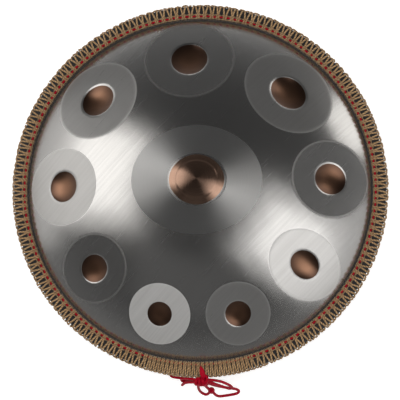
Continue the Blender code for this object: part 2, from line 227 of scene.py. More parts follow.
def settle(obj, slot, *nodes):
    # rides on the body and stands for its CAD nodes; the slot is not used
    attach(obj, "root")
    if nodes:
        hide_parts(*nodes)
    return obj


def gridFaces(rows, columns, wrapRows=False):
    # quads between neighbouring points of a grid stored row by row, whose rows are rings
    i = np.arange(rows if wrapRows else rows - 1)[:, None]
    j = np.arange(columns)[None]
    k, l = (i + 1) % rows, (j + 1) % columns
    quads = [i * columns + j, i * columns + l, k * columns + l, k * columns + j]
    return np.stack(np.broadcast_arrays(*quads), -1).reshape(-1, 4)


def roundOff(points, steps):
    # Catmull-Rom line through the points: a cubic between each two, with the neighbours' slope at its ends
    p = np.asarray(points, float)
    p = np.vstack([2 * p[:1] - p[1:2], p, 2 * p[-1:] - p[-2:-1]])
    t = (np.arange(steps) / steps)[None, :, None]
    a, b, c, d = (p[k : len(p) - 3 + k, None] for k in range(4))
    line = 0.5 * (2 * b + (c - a) * t + (2 * a - 5 * b + 4 * c - d) * t**2 + (3 * b - a - 3 * c + d) * t**3)
    return np.vstack([line.reshape(-1, p.shape[1]), p[-2:-1]])


def lineLength(line):
    return float(np.linalg.norm(np.diff(line, axis=0), axis=1).sum())


def tubes(lines, radius, sides, wide=1.0, closed=False, first=(0, 0, 1)):
    # a ring of points round each station of each line: centre + radius * (side * cos + up * sin).
    # lines is (count, stations, 3); radius and wide (the ring's width over its height) may vary along them
    lines = np.asarray(lines, float)
    count, stations = lines.shape[:2]
    if closed:
        run = np.roll(lines, -1, 1) - np.roll(lines, 1, 1)
    else:
        run = np.gradient(lines, axis=1)
    run /= np.linalg.norm(run, axis=-1, keepdims=True)
    up = np.broadcast_to(np.asarray(first, float), lines.shape)
    side = np.cross(run, up)
    side /= np.linalg.norm(side, axis=-1, keepdims=True) + 1e-12
    up = np.cross(side, run)
    turn = np.arange(sides) * 2 * math.pi / sides
    size = np.broadcast_to(radius, (count, stations))[..., None, None]
    flat = np.broadcast_to(wide, (count, stations))[..., None, None]
    cos, sin = np.cos(turn)[:, None], np.sin(turn)[:, None]
    rings = lines[:, :, None] + size * (flat * side[:, :, None] * cos + up[:, :, None] * sin)
    step = np.linalg.norm(np.diff(lines, axis=1), axis=-1)
    far = np.concatenate([np.zeros((count, 1)), np.cumsum(step, 1)], 1)
    uv = np.stack(np.broadcast_arrays(far[:, :, None], (turn / (2 * math.pi))[None, None]), -1)
    one = gridFaces(stations, sides, wrapRows=closed)[:, ::-1]
    start = (np.arange(count) * stations * sides)[:, None, None]
    faces = (one[None] + start).reshape(-1, 4).tolist()
    if not closed:
        cap = np.arange(sides)
        faces += (start[:, 0] + cap).tolist()
        faces += (start[:, 0] + (stations - 1) * sides + cap[::-1]).tolist()
    return rings, faces, uv


def turned(name, outline, material, segments):
    # a closed outline of (radius, height), anticlockwise, carried round Z
    outline = np.asarray(outline, float)
    turn = (np.arange(segments) * 2 * math.pi / segments)[:, None]
    radius, height = outline[:, 0][None], outline[:, 1][None]
    points = np.stack(np.broadcast_arrays(radius * np.cos(turn), radius * np.sin(turn), height), -1)
    faces = gridFaces(segments, len(outline), wrapRows=True)[:, ::-1].tolist()
    return addMesh(name, points, faces, material)


# finishes


def polar(paint, stretch=1.0):
    # distance from the middle, with the second axis stretched, and the coordinates it came from
    where = paint.place()
    x = paint.node("SeparateXYZ", {}, where)
    y = paint.node("SeparateXYZ", {}, where, out=1)
    return (x * x + y * y * stretch) ** 0.5, where


brushing = 48  # direction of the top shell's straight brushing, in degrees


def steelFinish():
    # satin steel brushed in straight lines, with the copper dimples, each tone field's own finish, and a
    # painted highlight along each field's edge
    paint = Paint("brushed steel")
    fine = paint.noise(paint.place((0.06, 0.0006, 0.06), (0, 0, math.radians(brushing))), 1.0, 2, 0.5)
    broad = paint.noise(paint.place((0.11, 0.0030, 0.11), (0, 0, math.radians(brushing - 2))), 1.0, 2, 0.5)
    radius, where = polar(paint)
    cloud = paint.noise(where, 9.0, 3)
    share = paint.value("share")
    field = 1 - share.fade(0.985, 1.005)
    # ridge: the band just inside each field's edge, a little rougher and painted paler as a highlight on the
    # crease
    ridge = share.fade(0.945, 0.968) * (1 - share.fade(0.992, 1.008))
    copper = 1 - share.fade(0.392, 0.402)
    burr = paint.noise(where, 190.0, 3, 0.6)
    edge = (radius + (burr - 0.5) * 0.012).fade(0.2485, 0.2555) * (1 - radius.fade(0.2575, 0.258))
    steel = paint.mix(cloud, (0.51, 0.50, 0.485), (0.59, 0.582, 0.57))
    steel = paint.mix(field * paint.value("pale"), steel, (0.86, 0.85, 0.83))
    steel = paint.mix((broad - 0.5) * 0.5 + 0.12, steel, (0.40, 0.39, 0.38))
    # painted highlight: paler colour along the fields' edges
    steel = paint.mix(ridge * 0.22, steel, (0.90, 0.89, 0.87))
    steel = paint.mix(edge * 0.55, steel, (0.46, 0.385, 0.325))
    dimpleColour = paint.mix(cloud, (0.22, 0.117, 0.072), (0.29, 0.160, 0.103))
    # the dimples' colour darkens towards their edges
    dimpleColour = paint.mix(share.fade(0.12, 0.39) * 0.75, dimpleColour, (0.085, 0.050, 0.038))
    rough = 0.25 + (broad - 0.5) * 0.07 + (fine - 0.5) * 0.08 + field * paint.value("satin") + ridge * 0.10
    rough = rough * (1 - copper) + copper * (0.30 + (cloud - 0.5) * 0.06)
    paint.bump(fine * 0.5 + broad * 0.5, 0.00003, 0.06)
    metal = 1 - field * (1 - copper) * paint.value("matte") - edge * 0.11
    return paint.set(
        Base_Color=paint.mix(copper, steel, dimpleColour), Roughness=rough, Metallic=metal,
        Anisotropic=0.4, Anisotropic_Rotation=0.25,
    )


def turnedSteelFinish():
    # the flat field round the ding, brushed round and round
    paint = Paint("turned steel")
    radius, where = polar(paint, 1.3)
    rings = paint.noise(paint.node("CombineXYZ", {}, radius * 900, 0.0, 0.0), 1.0, 3)
    cloud = paint.noise(where, 14.0, 4, 0.6)
    steel = paint.mix(cloud, (0.88, 0.875, 0.86), (0.97, 0.96, 0.94))
    paint.bump(rings, 0.00004, 0.35)
    return paint.set(
        Base_Color=paint.mix((rings - 0.5) * 0.5 + 0.1, steel, (0.60, 0.59, 0.58)),
        Roughness=0.37 + (rings - 0.5) * 0.10 + (cloud - 0.5) * 0.08, Metallic=1.0,
        Anisotropic=0.86, Anisotropic_Rotation=0.25,
    )


def dingFinish():
    # copper turned on a wheel: fine rings round the middle
    paint = Paint("turned copper")
    radius, where = polar(paint, 1.2)
    rings = paint.noise(paint.node("CombineXYZ", {}, radius * 2600, 0.0, 0.0), 1.0, 2)
    cloud = paint.noise(where, 60.0, 3)
    colour = paint.mix(cloud, (0.35, 0.22, 0.16), (0.45, 0.29, 0.215))
    paint.bump(rings, 0.00003, 0.4)
    return paint.set(
        Base_Color=paint.mix((rings - 0.5) * 0.5 + 0.1, colour, (0.22, 0.115, 0.07)),
        Roughness=0.28 + (rings - 0.5) * 0.12, Metallic=1.0, Anisotropic=0.8, Anisotropic_Rotation=0.25,
    )


def lowerSteelFinish():
    # the lower shell's steel, rubbed round and round
    paint = Paint("lower steel")
    radius, where = polar(paint)
    rings = paint.noise(paint.node("CombineXYZ", {}, radius * 700, 0.0, 0.0), 1.0, 4, 0.6)
    cloud = paint.noise(where, 9.0, 4)
    paint.bump(rings, 0.00005, 0.35)
    return paint.set(
        Base_Color=paint.mix(cloud * 0.7 + rings * 0.3, (0.48, 0.475, 0.465), (0.62, 0.615, 0.605)),
        Roughness=0.27 + (rings - 0.5) * 0.14 + (cloud - 0.5) * 0.12, Metallic=1.0,
        Anisotropic=0.4, Anisotropic_Rotation=0.25,
    )


def rubberFinish():
    paint = Paint("black rubber")
    grain = paint.noise(paint.place(), 900.0, 3)
    paint.bump(grain, 0.0001, 0.3)
    return paint.set(
        Base_Color=paint.mix(grain, (0.010, 0.010, 0.011), (0.022, 0.021, 0.021)),
        Roughness=0.5 + (grain - 0.5) * 0.2, Specular_IOR_Level=0.4,
    )


def glueFinish():
    paint = Paint("set adhesive")
    grain = paint.noise(paint.place(), 300.0, 3)
    paint.bump(grain, 0.0001, 0.4)
    return paint.set(Base_Color=paint.mix(grain, (0.10, 0.10, 0.095), (0.17, 0.165, 0.155)), Roughness=0.6)


def twist(paint, pitch, plies):
    # height of a laid cord: each ply is a rounded ridge that winds along it
    uv = paint.node("UVMap", {"uv_map": "along"})
    along = paint.node("SeparateXYZ", {}, uv)
    around = paint.node("SeparateXYZ", {}, uv, out=1)
    turn = (along / pitch + around) * (math.pi * plies)
    ridge = turn.sum("COSINE", turn)
    ridge = ridge.sum("ABSOLUTE", ridge)
    return ridge, along, around


def juteFinish():
    # two-ply jute: ridges that wind along the cord, pale and dark fibres, and painted shade in the grooves
    # between the ridges
    paint = Paint("jute cord")
    ridge, along, around = twist(paint, 0.0085, 2)
    fibre = paint.noise(paint.node("CombineXYZ", {}, along * 500, around * 9 + along * 900, 0.0), 1.0, 3)
    radius, where = polar(paint)
    patch = paint.noise(where, 55.0, 4, 0.6)
    tan = paint.mix(patch, (0.34, 0.21, 0.10), (0.62, 0.41, 0.215))
    # painted shade: the rows of knots, drawn tight inside the legs' radius, are darker than the legs, for the
    # shade between the knots
    tan = paint.mix((1 - radius.fade(0.2655, 0.2685)) * 0.28, tan, (0.13, 0.072, 0.032))
    tan = paint.mix(fibre * 0.5, tan, (0.24, 0.14, 0.06))
    paint.bump(ridge + fibre * 0.35, 0.0004, 0.8)
    # painted shade: the colour darkens in the grooves between the plies
    return paint.set(
        Base_Color=paint.mix(ridge.fade(0.75, 0.05), tan, (0.13, 0.072, 0.032)),
        Roughness=0.82 + (fibre - 0.5) * 0.2, Specular_IOR_Level=0.25, Sheen_Weight=0.15,
    )


def satinFinish():
    # red satin cord: a fine weave that winds round it, with painted shade in the weave's grooves
    paint = Paint("red satin cord")
    ridge = twist(paint, 0.0028, 8)[0]
    cloud = paint.noise(paint.place(), 160.0, 3)
    paint.bump(ridge, 0.00012, 0.45)
    red = paint.mix(cloud, (0.29, 0.0, 0.010), (0.45, 0.001, 0.018))
    # painted shade: the colour darkens in the grooves of the weave
    return paint.set(
        Base_Color=paint.mix(ridge.fade(0.7, 0.0) * 0.85, red, (0.13, 0.0, 0.005)),
        Roughness=0.45 + (cloud - 0.5) * 0.16, Specular_IOR_Level=0.12,
    )


def floorFinish(look):
    paint = Paint("pale floor")
    grain = paint.noise(paint.place(), 25.0, 3)
    return paint.set(
        Base_Color=paint.mix(grain, (0.88, 0.88, 0.875), (0.90, 0.90, 0.895)), Roughness=0.9,
        Emission_Color=(1, 1, 1), Emission_Strength=look["glow"], Specular_IOR_Level=0.1,
    )


# the bow, whose cords come first

bowLook = {
    "cord": 0.0034,
    "swell": 1.25,  # the loose cord looks this much thicker
    "knot": (0.0017, -0.2865, rimHeight - 0.0015),
    "knotHalf": (0.0092, 0.0054, 0.0058),
    "wrap": 0.0020,  # radii of the strands: round the knot, up from it, and in the end knot
    "turn": 0.0022,
    "endStrand": 0.0017,
    "endKnot": 12,  # the point of the large loop's route that the end knot is tied at
    "strap": 0.0009,  # half thickness of the drawcords' folded ends
}
# routes in millimetres from the knot's middle
bowRoutes = {
    "upper": [
        (8.6, 2.6, 3.9), (11.6, 2.4, 3.7), (21.2, 1.6, 1.2), (30.3, 0, -5.2), (37.7, -2.7, -12.3),
        (43.1, -5.4, -18.8), (45, -7.8, -24.2), (41.4, -9, -26.2), (35.2, -7.6, -21.6),
        (26.6, -5.1, -13), (18.9, -2.6, -4.4), (11.2, -0.4, 0.1), (8.2, 0.3, 1.0),
    ],
    "large": [
        (7.4, -1.5, -2.4), (11.1, -2.3, -4.3), (18.8, -4.6, -10), (31.3, -6.9, -23.2), (43.9, -8.2, -35.4),
        (51.6, -9.4, -42.8), (54.9, -12.2, -47), (51.2, -15.4, -48.4), (40.3, -17.8, -45.5),
        (27.6, -19.8, -39), (21.7, -18.8, -32.5), (17.8, -15.3, -26.6), (14.6, -12, -23.5),
        (11.3, -10.1, -19.5), (8.9, -8.2, -15.5), (6.6, -6, -10), (4.9, -3.9, -5.9), (3.6, -2.4, -3.2),
    ],
    "small": [
        (-4.0, -1.8, -3.0), (-4.1, -4.2, -6.3), (-4.3, -8.3, -14.5), (-2.5, -12.5, -22.5),
        (1.8, -16.1, -28.5), (7.2, -17.5, -30.2), (11.3, -15.1, -27.3), (13.4, -13.2, -24.8),
    ],
    "left": [
        (-8.0, 2.6, -2.2), (-11.7, 3.4, -4.2), (-19.2, 4.4, -7.2), (-25.6, 5.4, -10.8),
        (-29.2, 4.6, -14.6), (-28.9, 2.4, -18), (-25.6, 1.6, -19.4), (-21.4, 1.6, -17.6),
        (-16.6, 1.2, -13.2), (-12, 0.8, -9.2), (-8.4, 0.4, -6.9), (-5.6, 0.2, -4.8),
    ],
    "strand": [
        (-8.0, 2.7, 0.8), (-11.3, 3.6, 0.1), (-19.7, 4.6, -2), (-29.1, 5.4, -4.5),
        (-37.4, 6.6, -6.7), (-42.9, 8, -8.2), (-45.9, 11, -8.8), (-46.8, 14.4, -8.6),
    ],
    "tail": [
        (-7.6, -0.9, -1.8), (-11.3, -0.7, -4.2), (-17.1, -0.5, -8.6), (-22.4, -0.8, -13.8),
        (-25.9, -1.9, -18.5), (-28.9, -3.7, -24.5),
    ],
}


def bowLine(name):
    return roundOff(np.array(bowLook["knot"]) + np.array(bowRoutes[name]) * mm, 5)


def addCord(name, route, nodes, satin):
    line = bowLine(route)
    points, faces, uv = tubes(line[None], bowLook["cord"] / 2 * bowLook["swell"], 14)
    cord = addMesh(name, points, faces, satin, uv=uv)
    settle(cord, "satin_cord", *nodes)
    lineLength(line)


def tiltedRing(spin, tilt, stations):
    # a circle round the origin: cos * one + sin * two, where one lies level and two leans by the tilt
    turn = np.linspace(0, 2 * math.pi, stations + 1)[:-1]
    a, b = math.radians(spin), math.radians(tilt)
    one = np.array((math.cos(a), math.sin(a), 0))
    two = np.array((-math.sin(a) * math.sin(b), math.cos(a) * math.sin(b), math.cos(b)))
    return np.cos(turn)[:, None] * one + np.sin(turn)[:, None] * two


def woundStrands(name, rings, middle, radius, satin):
    rings = np.array(rings)
    out = rings - middle
    out = out / np.linalg.norm(out, axis=-1, keepdims=True)
    points, faces, uv = tubes(rings, radius, 12, closed=True, first=out)
    return addMesh(name, points, faces, satin, uv=uv)


def addKnot(satin):
    # the bow's knot: strands that wind over an oval middle, each a tilted ring on it
    middle, half = np.array(bowLook["knot"]), np.array(bowLook["knotHalf"])
    rings = []
    # each strand: (turn about Z, tilt, share of the oval's size, shift along X in mm)
    for spin, tilt, size, shift in (
        (86, 4, 1.0, -1.2), (100, -9, 1.06, 2.6), (74, 12, 0.98, -5.0), (96, 24, 1.3, 6.0),
        (14, 66, 1.04, 0.4), (-16, 104, 1.0, -0.6), (8, 88, 0.92, 0.0),
    ):
        ring = tiltedRing(spin, tilt, 48)
        ring = ring / np.linalg.norm(ring, axis=1, keepdims=True)
        if spin > 60:
            # it winds round X, so it is as small as the oval is at its shift
            size = size * math.sqrt(max(0.2, 1 - (shift * mm / half[0]) ** 2))
        rings.append(middle + ring * half * size + np.array((shift * mm, 0, 0)))
    settle(woundStrands("knotWraps", rings, middle, bowLook["wrap"], satin), "satin_cord", "bow_knot")
    # a thicker turn at its right that reaches up over the net's edge
    lobe = np.array([
        (3.0, -5.0, 2.0), (6.6, -3.6, 4.4), (9.0, 0.6, 6.6), (9.6, 4.6, 8.2),
        (8.0, 7.6, 9.0), (4.6, 7.4, 8.6), (3.0, 4.0, 7.0),
    ])
    line = roundOff(middle + lobe * mm, 5)
    points, faces, uv = tubes(line[None], bowLook["turn"], 12)
    settle(addMesh("knotTurn", points, faces, satin, uv=uv), "satin_cord")
    # the strands inside, hidden by the ones round them: an oval with its axis along X
    rows, around, pole = 20, 32, 0.04
    u = np.linspace(pole, math.pi - pole, rows)[:, None]
    v = (np.arange(around) * 2 * math.pi / around)[None]
    core = np.stack(np.broadcast_arrays(np.cos(u), np.sin(u) * np.cos(v), np.sin(u) * np.sin(v)), -1)
    ends = [list(range(around)), list(range((rows - 1) * around, rows * around))[::-1]]
    faces = gridFaces(rows, around)[:, ::-1].tolist() + ends
    uv = np.stack(np.broadcast_arrays(u * 0.008, v / 6.3), -1)
    inner = addMesh("knotMiddle", middle + core * half * 0.93, faces, satin, uv=uv)
    settle(inner, "satin_cord")


def addBead(satin):
    # the overhand knot on the large loop: strands wound round a small ball, each (spin, tilt, radius in mm)
    middle = np.array(bowLook["knot"]) + np.array(bowRoutes["large"][bowLook["endKnot"]]) * mm
    strands = ((20, 30, 3.5), (75, 75, 3.4), (130, 120, 3.5), (50, 150, 3.6))
    rings = [middle + tiltedRing(spin, tilt, 32) * size * mm for spin, tilt, size in strands]
    bead = woundStrands("endKnot", rings, middle, bowLook["endStrand"], satin)
    return settle(bead, "satin_cord", "end_knot")


def addStraps(satin):
    # a drawcord's two ends folded flat together: an oval section carried over the net's edge, with a fold
    # down its middle. Each station: (X, radius, height over the rim's middle plane, half width)
    route = np.array([
        (1.4, 263.6, 8.6, 0.25), (2.2, 265.6, 9.4, 1.2), (3.4, 269.8, 9.6, 3.1), (4.5, 275.05, 9.4, 3.8),
        (5.6, 280.4, 8.3, 3.2), (6.0, 283.4, 5.0, 2.1), (5.2, 285.0, 2.2, 1.6),
    ]) * mm
    line = roundOff(route, 5)
    sides = 18
    for name, side, node in (("upperStrap", 1, "upper_tie_strap"), ("lowerStrap", -1, "lower_tie_strap")):
        x, r, z, wide = line.T
        lower = 0.0015 if side < 0 else 0
        path = np.column_stack([x, -np.sqrt(r**2 - x**2), rimHeight + side * z - lower])
        thick = np.minimum(bowLook["strap"], wide * 0.8)
        # it faces up over the net and leans out past the rim
        lean = np.where(r > 0.281, -0.6, -0.1)
        up = np.column_stack([np.zeros(len(r)), lean, np.full(len(r), side * 1.0)])
        points, faces, uv = tubes(path[None], thick[None], sides, wide=(wide / thick)[None], first=up[None])
        # the fold: the two edges lift and the middle stays low
        turn = np.arange(sides) * 2 * math.pi / sides
        fold = 0.0007
        points = points + (np.abs(np.cos(turn))[None, None, :, None] - 0.5) * up[None, :, None] * fold
        strap = addMesh(name, points, faces, satin, uv=uv)
        settle(strap, "satin_cord", node)


addCamera(cameraLook)
satin = satinFinish()
addKnot(satin)
bead = addBead(satin)
addCord("bowLoopUpper", "upper", ["bow_loop_upper"], satin)
addCord("bowLoopLarge", "large", ["bow_loop_large", "bow_lead"], satin)
addCord("bowLoopSmall", "small", ["bow_loop_small"], satin)
addCord("bowLoopLeft", "left", ["bow_loop_left"], satin)
addCord("tieStrand", "strand", ["tie_strand"], satin)
addCord("bowTail", "tail", ["tail"], satin)
addStraps(satin)
print("bow ready")


# the steel shells

domeLook = {
    "radius": 0.257, "rise": 0.106, "fullness": 0.80, "sheet": 0.0012, "flangeRadius": 0.2748, "flat": 0.9,
    "dimple": 0.43, "dimpleDepth": 0.28,
    "dingSize": (0.0413, 0.0377), "dingField": (0.095, 0.080), "dingRise": 0.012,
    "step": 0.0008, "stepShare": (0.70, 0.76), "wave": 0.00006, "around": 640,
}
toneFields = {
    # name: (direction in degrees, margin to the rim, half length, half width,
    # added roughness, paleness, mattness)
    "top": (94.0, 0.0055, 0.0640, 0.0675, 0.0, 0.0, 0.0),
    "upperRight": (45.5, 0.0090, 0.0580, 0.0700, 0.05, 0.0, 0.02),
    "right": (2.0, 0.0065, 0.0565, 0.0575, 0.0, 0.0, 0.05),
    "lowerRight": (-37.5, 0.0070, 0.0540, 0.0490, 0.16, 0.2, 0.0),
    "bottomRight": (-73.0, 0.0140, 0.0440, 0.0475, 0.05, 0.1, 0.10),
    "bottomLeft": (-106.5, 0.0160, 0.0425, 0.0455, 0.30, 0.6, 0.34),
    "lowerLeft": (-141.0, 0.0120, 0.0490, 0.0495, 0.0, 0.0, 0.0),
    "left": (180.5, 0.0065, 0.0515, 0.0570, 0.22, 0.0, 0.0),
    "upperLeft": (139.5, 0.0060, 0.0555, 0.0645, 0.05, 0.0, 0.02),
}


def domeHeight(radius):
    # part of an ellipsoid: the height of its cap over its edge, scaled to the rise
    edge = math.sqrt(1 - domeLook["fullness"] ** 2)
    full = domeLook["radius"] / domeLook["fullness"]
    share = np.minimum(np.asarray(radius, float) / full, domeLook["fullness"])
    return domeLook["rise"] * (np.sqrt(1 - share**2) - edge) / (1 - edge)


def domeNormal(x, y):
    r = np.hypot(x, y)
    slope = (domeHeight(r - 0.0005) - domeHeight(r + 0.0005)) / 0.001
    normal = np.stack([slope * x / np.maximum(r, 1e-9), slope * y / np.maximum(r, 1e-9), np.ones_like(x)], -1)
    return normal / np.linalg.norm(normal, axis=-1, keepdims=True)


def fieldPlace(look):
    # middle, unit axes and half sizes of a tone field, and how far it flattens the dome
    turn, margin, halfLength, halfWidth = look[:4]
    turn = math.radians(turn)
    centre = domeLook["radius"] - margin - halfLength
    along, across = np.array((math.cos(turn), math.sin(turn))), np.array((-math.sin(turn), math.cos(turn)))
    flatten = domeLook["flat"] * float(domeHeight(centre) - domeHeight(math.hypot(centre, halfWidth)))
    return along * centre, along, across, halfLength, halfWidth, flatten


def fieldShare(plan, place):
    # distance from the field's middle, 1 on its edge
    middle, along, across, halfLength, halfWidth = place[:5]
    away = plan - middle
    return np.hypot(away @ along / halfLength, away @ across / halfWidth)


def wobble(x, y, scale, seed):
    # smooth low waves: a sum of sines in random directions
    rng = np.random.default_rng(seed)
    total = np.zeros_like(x)
    for turn, phase in zip(rng.uniform(0, math.pi, 7), rng.uniform(0, 6.28, 7)):
        size = scale * rng.uniform(0.6, 1.6)
        total += np.sin((x * math.cos(turn) + y * math.sin(turn)) * size + phase)
    return total / 7


def topHeight(plan):
    # outer face over the flange: dome, less the deepest field, plus the ding's cap with its small step
    x, y = plan[..., 0], plan[..., 1]
    height = domeHeight(np.hypot(x, y))
    lowest = np.zeros_like(height)
    for look in toneFields.values():
        place = fieldPlace(look)
        share = fieldShare(plan, place)
        bowl = domeLook["dimpleDepth"] * domeLook["dimple"] * place[4]
        dimple = bowl * np.clip(1 - (share / domeLook["dimple"]) ** 2, 0, 1)
        lowest = np.maximum(lowest, place[5] * np.clip(1 - share**2, 0, 1) + dimple)
    fieldX, fieldY = domeLook["dingField"]
    flatten = domeLook["flat"] * float(domeHeight(0) - domeHeight((fieldX + fieldY) / 2))
    lowest = np.maximum(lowest, flatten * np.clip(1 - np.hypot(x / fieldX, y / fieldY) ** 2, 0, 1))
    share = np.hypot(x / domeLook["dingSize"][0], y / domeLook["dingSize"][1])
    start, end = domeLook["stepShare"]
    step = np.clip((end - share) / (end - start), 0, 1) * domeLook["step"]
    cap = np.where(share < 1, (domeLook["dingRise"] - domeLook["step"]) * (1 - share**2) + step, 0)
    calm = np.clip((domeLook["radius"] - np.hypot(x, y)) / 0.02, 0, 1) * np.clip(share - 1, 0, 1)
    return height - lowest + cap + domeLook["wave"] * calm * wobble(x, y, 160, 3)


def snapToFields(plan, reach):
    # points close to a field's or a dimple's edge move onto it, so that the crease is clean
    for look in toneFields.values():
        place = fieldPlace(look)
        share = fieldShare(plan, place)
        for edge in (1.0, domeLook["dimple"]):
            close = np.abs(share - edge) * min(place[3:5]) < reach
            pull = np.where(close, edge / np.maximum(share, 1e-6), 1.0)[..., None]
            plan = place[0] + (plan - place[0]) * pull
    return plan


creaseAngle = math.radians(40)


def addSheet(name, top, material, ring):
    # rows of points and the same ones lower, joined at their ends: a ring, or a disc with its middle closed
    under = top[::-1].copy()
    under[..., 2] -= 0.0004
    points = np.concatenate([top, under])
    count, around = points.shape[:2]
    faces = gridFaces(count, around, wrapRows=ring)[:, ::-1].tolist()
    if not ring:
        faces += [list(range(around)), list(range((count - 1) * around, count * around))[::-1]]
    sheet = addMesh(name, points, faces, material)
    sheet.data.set_sharp_from_angle(angle=creaseAngle)
    return settle(sheet, "note_shell_steel")


def addTopShell(steel, turnedSteel, copper):
    # rows of points round the middle: from the ding's field outward, over the flange's edge and back
    # along the inner face
    dingX, dingY = domeLook["dingSize"]
    fieldX, fieldY = domeLook["dingField"]
    rim, flange = domeLook["radius"], domeLook["flangeRadius"]
    turn = (np.arange(domeLook["around"]) * 2 * math.pi / domeLook["around"])[None]

    def rows(sizes):
        sizes = np.asarray(sizes, float)
        return np.stack([sizes[:, :1] * np.cos(turn), sizes[:, 1:] * np.sin(turn)], -1)

    def raised(plan, lift=0.0):
        return np.concatenate([plan, (base + lift + topHeight(plan))[..., None]], -1)

    def between(first, last, count):
        return np.linspace(first, last, count + 1)[1:]

    # the rows turn from the field's oval to circles on the way out
    round1, round2, round3 = (0.150, 0.150), (0.2545, 0.2545), (0.2558, 0.2558)
    sizes = np.vstack([
        between((fieldX, fieldY), round1, 28), between(round1, round2, 66), [round3, (rim, rim)],
    ])
    base = rimHeight + flangeFace
    plan = snapToFields(rows(sizes), 0.0008)
    outer = raised(plan)
    outer[-1, :, 2] = base
    # under the ding and its field the shell goes on a little lower, out of sight
    start = raised(rows([(fieldX, fieldY)]))
    inward = (0.05, 0.2, 0.4, 0.5, 0.7, 0.9, 0.999)
    hidden = raised(rows([(fieldX * k, fieldY * k) for k in inward]), -0.0007)
    edge = rows([(rim + 0.002, rim + 0.002), (flange, flange), (flange, flange)])
    edge = np.concatenate([edge, np.full(edge.shape[:2] + (1,), base)], -1)
    edge[2, :, 2] -= domeLook["sheet"]
    inside = rows(np.linspace(rim - 0.0016, 0.012, 24)[:, None].repeat(2, 1))
    under = raised(inside) - domeLook["sheet"] * domeNormal(inside[..., 0], inside[..., 1])
    corner = rows([(rim - 0.0006, rim - 0.0006)])
    corner = np.concatenate([corner, np.full(corner.shape[:2] + (1,), base - domeLook["sheet"])], -1)
    points = np.concatenate([hidden, start, outer, edge, corner, under])
    count, around = points.shape[:2]
    faces = gridFaces(count, around)[:, ::-1].tolist()
    faces += [list(range(around)), list(range((count - 1) * around, count * around))[::-1]]
    flat = points[..., :2]
    shares = np.array([fieldShare(flat, fieldPlace(look)) for look in toneFields.values()])
    nearest = shares.argmin(0)
    share = shares.min(0)
    share[len(hidden) + 1 + len(outer) :] = 2.0  # no field on the flange or inside
    finish = np.array([look[4:7] for look in toneFields.values()])[nearest]
    values = {"share": share, "satin": finish[..., 0], "pale": finish[..., 1], "matte": finish[..., 2]}
    shell = addMesh("topShell", points, faces, steel, values=values)
    shell.data.set_sharp_from_angle(angle=creaseAngle)
    # the brushing runs in straight lines: its centre is far away, across them
    shell.data.use_auto_texspace = False
    across, away = math.radians(brushing + 90), 60
    shell.data.texspace_location = (away * math.cos(across), away * math.sin(across), 0)
    shell.data.texspace_size = (1, 1, 1)
    settle(shell, "note_shell_steel", "top_shell")

    # the ding's field starts just outside the ding, and the ding's rows are close together on its step
    plan = rows([(dingX, dingY), *between((dingX, dingY), (fieldX, fieldY), 26)])
    plan[0] *= 1.0004
    addSheet("dingField", raised(plan)[:, ::2], turnedSteel, True)
    low, high = domeLook["stepShare"]
    shares = [*np.linspace(0.02, low, 22), *between(low, high, 4), *between(high, 1.0, 13)]
    plan = rows([(dingX * k, dingY * k) for k in shares])
    addSheet("ding", raised(plan * 0.99999)[:, ::2], copper, False)


portLook = {"stand": 0.080, "radius": 0.050, "rounding": 0.008, "neckTop": 0.026}


def addBottomShell(steel):
    # the outer face's outline, from the flange's edge to the port's neck, and the same moved in by the sheet
    rim, flange = domeLook["radius"], domeLook["flangeRadius"]
    stand, port, bend, top = portLook.values()
    depth = float(domeHeight(stand))
    radii = np.linspace(rim, stand, 70)
    dome = np.column_stack([radii, depth - domeHeight(radii)])
    turn = np.radians(np.linspace(270, 180, 12))
    lip = np.column_stack([port + bend + bend * np.cos(turn), bend + bend * np.sin(turn)])
    neck = [(port, 2 * bend), (port, top)]
    line = np.vstack([[(flange, depth), (rim + 0.002, depth)], dome, lip, neck])
    run = np.gradient(line, axis=0)
    run /= np.linalg.norm(run, axis=1, keepdims=True)
    inner = line + domeLook["sheet"] * np.column_stack([run[:, 1], -run[:, 0]])
    inner[:2, 0] = line[:2, 0]
    outline = np.vstack([line, inner[::-1]])
    shell = turned("bottomShell", outline[::-1], steel, 320)
    settle(shell, "lower_shell_steel", "bottom_shell")


addTopShell(steelFinish(), turnedSteelFinish(), dingFinish())
addBottomShell(lowerSteelFinish())
print("shells ready")


# the corded rim

rimLook = {
    "flange": 0.2748, "lip": 0.2587, "wall": 0.0022, "trimTop": 0.0042, "trimGap": 0.0003,
    "cord": 0.0028, "knotCord": 0.0026, "legRadius": 0.2735,
    "drawcord": 0.0024, "drawcordRadius": 0.2617, "drawcordHeight": 0.0066,
    "seam": 270.26, "bunched": (251, 288), "bunchedStep": 1.42,
}
# degrees between neighbouring knots, by direction: the work is by hand and varies
knotSteps = {
    0: 2.06, 30: 2.05, 60: 2.16, 90: 2.27, 120: 2.29, 150: 2.15,
    180: 2.13, 210: 2.23, 240: 2.11, 300: 2.25, 330: 2.25, 360: 2.06,
}


def rimPoint(angle, aside, radius, height):
    # a point given by its direction, its distance to the side in metres, and its radius and height over
    # the rim's middle plane
    turn = angle + aside / radius
    return np.stack(np.broadcast_arrays(radius * np.cos(turn), radius * np.sin(turn), rimHeight + height), -1)


def knotPlaces():
    # the knots' directions: the steps are summed from the seam round, so that a whole number of knots fits
    around = np.linspace(rimLook["seam"], rimLook["seam"] + 360, 3601)
    step = np.interp(around % 360, list(knotSteps), list(knotSteps.values()))
    low, high = rimLook["bunched"]
    bunch = np.clip((around % 360 - low) / 3, 0, 1) * np.clip((high - around % 360) / 3, 0, 1)
    step = step * (1 - bunch) + rimLook["bunchedStep"] * bunch
    count = np.concatenate([[0], np.cumsum(0.1 / step[:-1])])
    total = round(count[-1])
    places = np.interp((np.arange(total) + 0.5) * count[-1] / total, count, around)
    return np.radians(places), np.interp(places, around, bunch)


